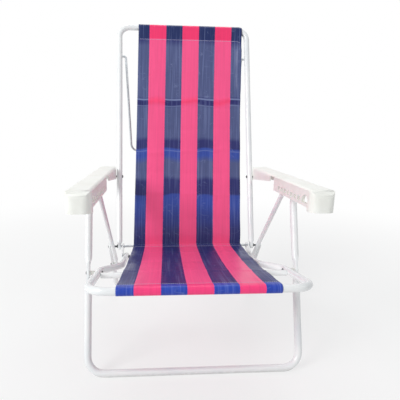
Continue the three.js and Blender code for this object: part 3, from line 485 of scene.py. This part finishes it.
    # The painted highlights and sheen go onto the dark stripes only, as a pale blue grey.
    pale = add_node(tree, "ShaderNodeMath", {0: pale.outputs[0], 1: bare.outputs[0]}, operation="MULTIPLY")
    lit = add_node(
        tree, "ShaderNodeMix", {0: pale.outputs[0], 6: lit.outputs[2], 7: linear("#8E9CC6")},
        data_type="RGBA")
    warp = add_node(tree, "ShaderNodeMath", {0: across, 1: math.pi / tape_wide}, operation="MULTIPLY")
    warp = add_node(tree, "ShaderNodeMath", {0: warp.outputs[0]}, operation="SINE")
    weft = add_node(tree, "ShaderNodeMath", {0: along, 1: math.pi / tape_wide}, operation="MULTIPLY")
    weft = add_node(tree, "ShaderNodeMath", {0: weft.outputs[0]}, operation="SINE")
    weave = add_node(tree, "ShaderNodeMath", {0: warp.outputs[0], 1: weft.outputs[0]}, operation="MULTIPLY")
    fine = add_node(
        tree, "ShaderNodeBump", {"Height": weave.outputs[0], "Strength": 0.3, "Distance": 0.0003})
    relief = add_node(tree, "ShaderNodeBump", {
        "Height": wrinkle.outputs["Fac"], "Strength": 0.35, "Distance": 0.004,
        "Normal": fine.outputs["Normal"]})
    gloss = add_node(
        tree, "ShaderNodeMapRange", {"Value": drift.outputs["Fac"], 1: 0.3, 2: 0.7, 3: 0.5, 4: 0.3})
    shader = add_node(tree, "ShaderNodeBsdfPrincipled", {
        "Base Color": lit.outputs[2], "Roughness": gloss.outputs[0], "Normal": relief.outputs["Normal"],
        "IOR": 1.45, "Specular IOR Level": 0.32, "Coat Weight": 0.1, "Coat Roughness": 0.25})
    add_node(tree, "ShaderNodeOutputMaterial", {"Surface": shader.outputs[0]})
    return material


# Each band has its tone and the two shares of the cloth's length between which it is even.
def banded(bands):
    stops = []
    for tone, start, end in bands:
        stops.append((start, tone))
        stops.append((end, tone))
    return stops


navy_tape = "#262A68"
# Painted reflection: a bluer tone and a greyer tone of the dark stripes, standing for the glossy film's
# sheen.
painted_blue_sheen = "#344CA2"
painted_grey_sheen = "#4E5884"
pink_tape = "#FD5A90"
# A painted shade line in the pink, in a fold of the back.
painted_pink_fold_shade = "#FF4A7C"
seat_length = seat_lengths[-1]
seat_sheet = cut_sheet("seat_sling", seat_length, seat_rows)
hang_sheet(seat_sheet, seat_length, hang_seat)
# The seat's pocket takes painted sheen, a bright blue on the navy, and painted shade, a deeper pink.
seat_raffia = raffia(
    "striped_raffia_seat", seat_length, banded([(navy_tape, 0.0, 1.0)]), banded([(pink_tape, 0.0, 1.0)]), [],
    (seat_panel_to, "#2846B2", "#FF4584"))
seat_sheet.data.materials.append(seat_raffia)
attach(seat_sheet, "seat")
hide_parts("seat_fabric")


# Seat stitching. A lockstitch in pale thread across the cloth: one row on the upper face at the
# tunnel, and a row on each face at the front pocket.
stitch_pitch = 4.4
stitch_long = 3.4
stitch_radius = 0.8
stitch_sides = 6
stitch_above = 0.1
stitch_taper = 0.55
stitch_flat = 0.7
stitch_dip = 0.2
row_margin = 8
seam_inset = 2.0


def sew(name, rows, hang):
    bpy.ops.object.select_all(action="DESELECT")
    stitches = []
    for distance, side in rows:
        count = int((cloth_width - row_margin) / stitch_pitch)
        for i in range(count):
            across = (i + 0.5 - count / 2) * stitch_pitch
            left = hang(across - stitch_long / 2, distance)
            right = hang(across + stitch_long / 2, distance)
            ahead = hang(across, distance + 0.5) - hang(across, distance - 0.5)
            reach = right - left
            out = reach.cross(ahead).normalized() * side
            turn = Matrix((reach.normalized(), out.cross(reach).normalized(), out)).transposed()
            stitches.append((left.lerp(right, 0.5) + out * (cloth_thick / 2 + stitch_above) / 1000, turn))
    bpy.ops.mesh.primitive_cylinder_add(
        vertices=stitch_sides, radius=stitch_radius / 1000, depth=stitch_long / 1000)
    thread = bpy.context.object
    thread.name = name
    bpy.ops.object.mode_set(mode="EDIT")
    bpy.ops.mesh.select_all(action="SELECT")
    bpy.ops.mesh.subdivide(number_cuts=1)
    bpy.ops.object.mode_set(mode="OBJECT")
    for vertex in thread.data.vertices:
        end = abs(vertex.co.z) / (stitch_long / 2000)
        thin = 1 - stitch_taper * end ** 2
        lying = vertex.co.x * thin * stitch_flat - stitch_dip / 1000 * end
        vertex.co = Vector((vertex.co.z, vertex.co.y * thin, lying))
    single = [vertex.co.copy() for vertex in thread.data.vertices]
    faces = [tuple(face.vertices) for face in thread.data.polygons]
    points = []
    polygons = []
    for centre, turn in stitches:
        first = len(points)
        points.extend(centre + turn @ point for point in single)
        polygons.extend(tuple(first + i for i in face) for face in faces)
    mesh = bpy.data.meshes.new(name)
    mesh.from_pydata(points, [], polygons)
    thread.data = mesh
    bpy.ops.object.mode_set(mode="EDIT")
    bpy.ops.mesh.select_all(action="SELECT")
    bpy.ops.mesh.normals_make_consistent(inside=False)
    bpy.ops.object.mode_set(mode="OBJECT")
    bpy.ops.object.shade_smooth()
    return thread


# Bonded polyester thread: pale lilac white, twisted, with a soft lustre.
twist_size = 0.0006
seam_thread, tree = new_material("bonded_polyester_thread")
place = add_node(tree, "ShaderNodeTexCoord").outputs["Object"]
twist = add_node(tree, "ShaderNodeTexNoise", {"Vector": place, "Scale": 1 / twist_size, "Detail": 2.0})
tone = add_node(tree, "ShaderNodeValToRGB", {"Fac": twist.outputs["Fac"]})
set_ramp(tone, [(0.3, "#9FA4C4"), (0.7, "#D6D8E6")])
gloss = add_node(tree, "ShaderNodeMapRange", {"Value": twist.outputs["Fac"], 3: 0.45, 4: 0.65})
shader = add_node(
    tree, "ShaderNodeBsdfPrincipled", {"Base Color": tone.outputs["Color"], "Roughness": gloss.outputs[0]})
add_node(tree, "ShaderNodeOutputMaterial", {"Surface": shader.outputs[0]})

seat_thread = sew("seat_stitching", [
    (seat_panel_from + seam_inset, -1), (seat_panel_to - seam_inset, -1),
    (seat_panel_to - seam_inset, 1)], hang_seat)
seat_thread.data.materials.append(seam_thread)
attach(seat_thread, "seat")


# Back cloth. The same striped raffia, from behind the crease rod up to a deep pocket sewn over
# the top bar. It has slid sideways along the bar, so its right end sinks round the tube's bend.
back_lean = math.radians(18.1)
back_up = Vector((math.sin(back_lean), math.cos(back_lean)))
back_front = Vector((-back_up.y, back_up.x))
back_long = 798.5
back_bend_from = 198.0
back_bend_radius = 36.0
back_foot = -2.0
foot_behind = 6.2
foot_blend = 45
back_sag = 12.0
pocket_seam = 755.0
pocket_front = 4.5
forward_from = 500
top_hem = Vector((9.0, 0.2))
back_steps = 180
seam_share = (pocket_seam - back_foot) / (back_long - back_foot)
sag_at_seam = back_sag * 4 * seam_share * (1 - seam_share)
top_bar_at = Vector((back_long, 0.0))


def back_bow(up):
    share = (up - back_foot) / (back_long - back_foot)
    bow = -back_sag * 4 * share * (1 - share) - foot_behind * smooth(foot_blend, 0, up)
    return bow + smooth(forward_from, pocket_seam, up) * (pocket_front + sag_at_seam)


back_path = []
for i in range(back_steps + 1):
    up = back_foot + (pocket_seam - back_foot) * i / back_steps
    back_path.append(Vector((up, back_bow(up))))
seam_front = back_path[-1]
seam_rear = seam_front - Vector((0.0, ply_gap))
front_touch = touch_angle(seam_front, top_bar_at, tube_wrap, -1)
rear_touch = touch_angle(seam_rear, top_bar_at, tube_wrap, 1)
wrap_round(back_path, top_bar_at, tube_wrap, front_touch, rear_touch - 2 * math.pi)
back_path.append(seam_rear)
back_path.append(seam_rear - top_hem)
back_lengths = walk(back_path)
back_seam_length = back_lengths[back_steps]
back_rows = 215
back_slide_foot = 5.0
back_slide_change = 20.0
free_from_foot = 60.0
free_below_seam = 50
back_ripple = 1.3
back_ripple_pitch = 127
back_ripple_phase = 0.9
back_edge_from = 168
back_edge_wave = 1.5
back_edge_pitch = 170
back_edge_right_phase = 0.4
back_edge_left_phase = 1.9
# Each fold of the back has its place up the back, its height, its slant and its half width.
back_folds = (
    (531, 2.4, 0.035, 6), (508, -1.8, -0.03, 7), (640, 1.1, 0.02, 11), (424, -1.3, 0.04, 12),
    (343, 1.7, 0.06, 8), (262, -1.3, -0.03, 12), (186, 1.4, -0.04, 9), (92, -1.0, 0.02, 12))
# The cloth's right side stands forward of the bail's arm, over this stretch of height and width.
bail_bulge = 7.0
bail_low = (540, 595)
bail_high = (745, 715)
bail_side = (186, 203)
bend_limit = 30.0
sink_from = 690
end_wider = 0.11
end_span = 16.0
end_below_seam = 40


def hang_back(across, distance):
    at = point_on(back_path, back_lengths, distance)[0]
    climb = min(max(at.x / back_long, 0.0), 1.0)
    x = across + back_slide_foot + back_slide_change * climb
    free = smooth(0.0, free_from_foot, at.x) * smooth(pocket_seam + 2, pocket_seam - free_below_seam, at.x)
    ripple = math.sin(2 * math.pi * across / back_ripple_pitch + back_ripple_phase)
    lift = back_ripple * ripple * math.sin(math.pi * climb)
    edge = smooth(back_edge_from, cloth_edge, abs(across))
    phase = back_edge_right_phase if across > 0 else back_edge_left_phase
    lift += back_edge_wave * edge * math.sin(2 * math.pi * at.x / back_edge_pitch + phase)
    for where, tall, slope, wide in back_folds:
        lift += tall * math.exp(-((at.x - where - slope * across) / wide) ** 2)
    up = at.x
    front = at.y
    if distance < back_seam_length:
        front += free * lift
        over_bail = smooth(*bail_low, up) * smooth(*bail_high, up) * smooth(*bail_side, x)
        front += bail_bulge * over_bail
    past = max(x - back_bend_from, 0.0)
    sink = back_bend_radius - math.sqrt(back_bend_radius ** 2 - min(past, bend_limit) ** 2)
    near_top = smooth(sink_from, pocket_seam, up)
    up -= sink * near_top
    widen = 1 + end_wider * min(past / end_span, 1.0)
    if up > pocket_seam - end_below_seam:
        front = front * (1 + (widen - 1) * near_top)
        up = back_long - sink + (up - back_long + sink) * (1 + (widen - 1) * near_top)
    at = crease_at + back_up * up + back_front * front
    return Vector((x / 1000, at.x / 1000, at.y / 1000))


back_length = back_lengths[-1]
back_sheet = cut_sheet("back_sling", back_length, back_rows)
hang_sheet(back_sheet, back_length, hang_back)
# Along the back, the dark stripes take painted reflection in bands, bluer and greyer, between navy ones.
back_dark_bands = [
    (navy_tape, 0.0, 0.06), (painted_blue_sheen, 0.17, 0.205), (navy_tape, 0.21, 0.265), (painted_grey_sheen, 0.28, 0.34),
    (painted_blue_sheen, 0.365, 0.395), (navy_tape, 0.4, 0.43), (painted_grey_sheen, 0.445, 0.57), (navy_tape, 0.58, 0.6),
    (painted_grey_sheen, 0.615, 0.82), (navy_tape, 0.85, 1.0)]
# The pink takes one narrow painted shade line in a fold.
back_pink_bands = [(pink_tape, 0.0, 0.575), (painted_pink_fold_shade, 0.59, 0.595), (pink_tape, 0.615, 1.0)]
# Each painted highlight on a fold has its distance from the foot and half its width, in millimetres, and its
# strength.
back_fold_highlights = [(513.8, 3.0, 0.35), (536.8, 4.0, 0.6), (345.0, 2.5, 0.3)]
# The back's pocket takes painted shade, a deeper navy and a deeper pink.
back_raffia = raffia(
    "striped_raffia_back", back_length, banded(back_dark_bands), banded(back_pink_bands), back_fold_highlights,
    (back_seam_length, "#11245A", "#F93A72"))
back_sheet.data.materials.append(back_raffia)
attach(back_sheet, "backrest")
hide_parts("back_fabric")


# Back stitching. The same lockstitch in pale thread across the cloth: a row on each face at the
# seam of the top pocket, and a row on each face along the foot, by the crease rod.
foot_seam = 7.0
back_thread = sew("back_stitching", [
    (back_seam_length - seam_inset, 1), (back_seam_length - seam_inset, -1),
    (foot_seam, 1), (foot_seam, -1)], hang_back)
back_thread.data.materials.append(seam_thread)
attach(back_thread, "backrest")


# Floor. A plain pale studio floor, one flat disc just under the ground bars, that fades to the
# white of the room away from the chair.
floor_radius = 9.0
floor_drop = 0.0006
fade_from = 0.5
fade_to = 2.6


def seen_rays(tree):
    rays = add_node(tree, "ShaderNodeLightPath")
    seen = add_node(
        tree, "ShaderNodeMath", {0: rays.outputs["Is Camera Ray"], 1: rays.outputs["Is Glossy Ray"]},
        operation="MAXIMUM")
    seen = add_node(
        tree, "ShaderNodeMath", {0: seen.outputs[0], 1: rays.outputs["Is Transmission Ray"]},
        operation="MAXIMUM")
    return seen.outputs[0]


bpy.ops.object.select_all(action="DESELECT")
bpy.ops.mesh.primitive_circle_add(
    vertices=96, radius=floor_radius, fill_type="NGON", location=(0, 0, -floor_drop))
floor = bpy.context.object
floor.name = "studio_floor"
pale_floor, tree = new_material("pale_studio_floor")
place = add_node(tree, "ShaderNodeTexCoord").outputs["Object"]
away = add_node(tree, "ShaderNodeVectorMath", {0: place}, operation="LENGTH")
fade = add_node(
    tree, "ShaderNodeMapRange",
    {"Value": away.outputs["Value"], 1: fade_from, 2: fade_to, 3: 0.62, 4: 1.0},
    interpolation_type="SMOOTHSTEP")
amount = add_node(
    tree, "ShaderNodeMath", {0: fade.outputs[0], 1: seen_rays(tree)}, operation="MULTIPLY")
matt = add_node(tree, "ShaderNodeBsdfDiffuse", {"Color": linear("#F6F6F5")})
bright = add_node(tree, "ShaderNodeEmission", {"Color": linear("#FFFFFF"), "Strength": 1.0})
both = add_node(
    tree, "ShaderNodeMixShader", {0: amount.outputs[0], 1: matt.outputs[0], 2: bright.outputs[0]})
add_node(tree, "ShaderNodeOutputMaterial", {"Surface": both.outputs[0]})
floor.data.materials.append(pale_floor)


# Studio light. A pale room and three soft boxes: a large one high on the left, a weaker one on
# the right, and one overhead behind the chair.
world = bpy.data.worlds.new("pale_room")
scene.world = world
world.use_nodes = True
tree = world.node_tree
tree.nodes.clear()
room = add_node(tree, "ShaderNodeBackground", {"Color": linear("#F4F7FA"), "Strength": 0.42})
shown = add_node(tree, "ShaderNodeBackground", {"Color": linear("#FFFFFF"), "Strength": 1.0})
both = add_node(tree, "ShaderNodeMixShader", {0: seen_rays(tree), 1: room.outputs[0], 2: shown.outputs[0]})
add_node(tree, "ShaderNodeOutputWorld", {"Surface": both.outputs[0]})
lamps_face = Vector((0, 0, 0.5))
# Each soft box has its name, place, width in metres and power in watts.
soft_boxes = (
    ("soft_box_left", (-3.96, -2.88, 3.02), 2.34, 172.0), ("soft_box_right", (2.2, -1.2, 1.6), 1.2, 5.0),
    ("soft_box_overhead", (0.2, 1.0, 2.8), 1.6, 20.0))
for name, at, size, power in soft_boxes:
    lamp = bpy.data.lights.new(name, "AREA")
    lamp.size = size
    lamp.energy = power
    holder = bpy.data.objects.new(name, lamp)
    scene.collection.objects.link(holder)
    holder.location = at
    holder.rotation_euler = (lamps_face - Vector(at)).to_track_quat("-Z", "Y").to_euler()


# Camera. At the photograph's place, above and a little left of the seat's front, with a longer
# lens that fills the frame with the one chair.
frame_pixels = 400
photo_focal_pixels = 251.0
enlarged = 1.5
sensor_wide = 36.0
camera_at = Vector((-0.10396, -1.15470, 0.65745))
camera_right = Vector((0.99757, -0.06870, 0.01123))
camera_up = Vector((0.00579, 0.24269, 0.97009))
camera_back = Vector((-0.06938, -0.96767, 0.24250))
eye = bpy.data.cameras.new("photo_camera")
eye.sensor_width = sensor_wide
eye.lens = sensor_wide * photo_focal_pixels * enlarged / frame_pixels
eye.shift_x = 0.043
eye.shift_y = 0.055
camera = bpy.data.objects.new("photo_camera", eye)
scene.collection.objects.link(camera)
turn = Matrix((camera_right, camera_up, camera_back)).transposed()
camera.matrix_world = Matrix.Translation(camera_at) @ turn.to_4x4()
scene.camera = camera
scene.view_settings.view_transform = "Standard"

bpy.context.view_layer.update()
